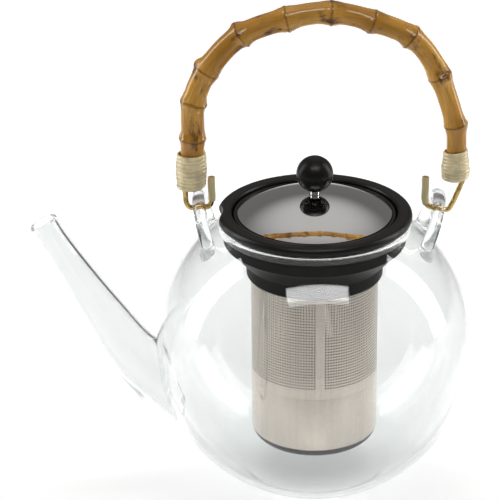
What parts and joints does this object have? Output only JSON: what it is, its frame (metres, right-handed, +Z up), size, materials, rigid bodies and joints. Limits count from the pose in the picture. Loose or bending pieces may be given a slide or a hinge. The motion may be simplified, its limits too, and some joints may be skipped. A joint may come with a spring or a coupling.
{
  "type": "glass teapot",
  "caption": "Round glass teapot with a swan spout, a lift-out strainer and plunger under a domed steel lid, and a bamboo bail handle on wire hooks.",
  "frame": {"origin": "centre of the flat round foot that the pot stands on", "axes": "+Z up along the pot's axis, spout towards -X, handle arch in the XZ plane, +Y to the back"},
  "size_m": [0.2167, 0.1558, 0.2489],
  "materials": {
    "glass": "clear blown borosilicate glass, fire polished",
    "black_plastic": "black moulded plastic, satin",
    "black_silicone": "matt black silicone",
    "mirror_steel": "mirror-polished stainless steel",
    "satin_steel": "satin stainless steel sheet, finely perforated on the sleeve",
    "bamboo": "bent bamboo root, scorched in patches and varnished",
    "cane": "split cane binding, waxed",
    "brass": "drawn brass wire",
    "sleeve": "translucent beige plastic tube"
  },
  "bodies": {
    "pot": {"globe": "glass", "spout": "glass", "lug_left": "glass", "lug_right": "glass"},
    "infuser": {"collar": "black_plastic", "collar_gasket": "black_silicone", "strainer_sleeve": "satin_steel", "strainer_cup": "satin_steel"},
    "lid": {"lid_insert": "black_plastic", "lid_seal": "black_silicone", "lid_dome": "mirror_steel", "rod_bushing": "black_plastic"},
    "plunger": {"knob": "black_plastic", "plunger_rod": "mirror_steel", "plunger_disc": "satin_steel", "plunger_seal": "black_silicone", "plunger_washer": "satin_steel", "plunger_nut": "satin_steel"},
    "handle": {"bamboo_handle": "bamboo", "wrap_left": "cane", "wrap_right": "cane", "hook_left": "brass", "hook_right": "brass", "sleeve_left": "sleeve", "sleeve_right": "sleeve"}
  },
  "joints": [
    {"name": "handle_swing", "type": "hinge", "parent": "pot", "child": "handle", "pos_m": [0, 0, 0.13236], "axis": [1, 0, 0], "range_deg": [-45, 45]},
    {"name": "infuser_lift", "type": "slide", "parent": "pot", "child": "infuser", "axis": [0, 0, 1], "range_m": [0, 0.055]},
    {"name": "lid_lift", "type": "slide", "parent": "infuser", "child": "lid", "axis": [0, 0, 1], "range_m": [0, 0.055]},
    {"name": "plunger_lift", "type": "slide", "parent": "lid", "child": "plunger", "axis": [0, 0, 1], "range_m": [0, 0.06]}
  ]
}
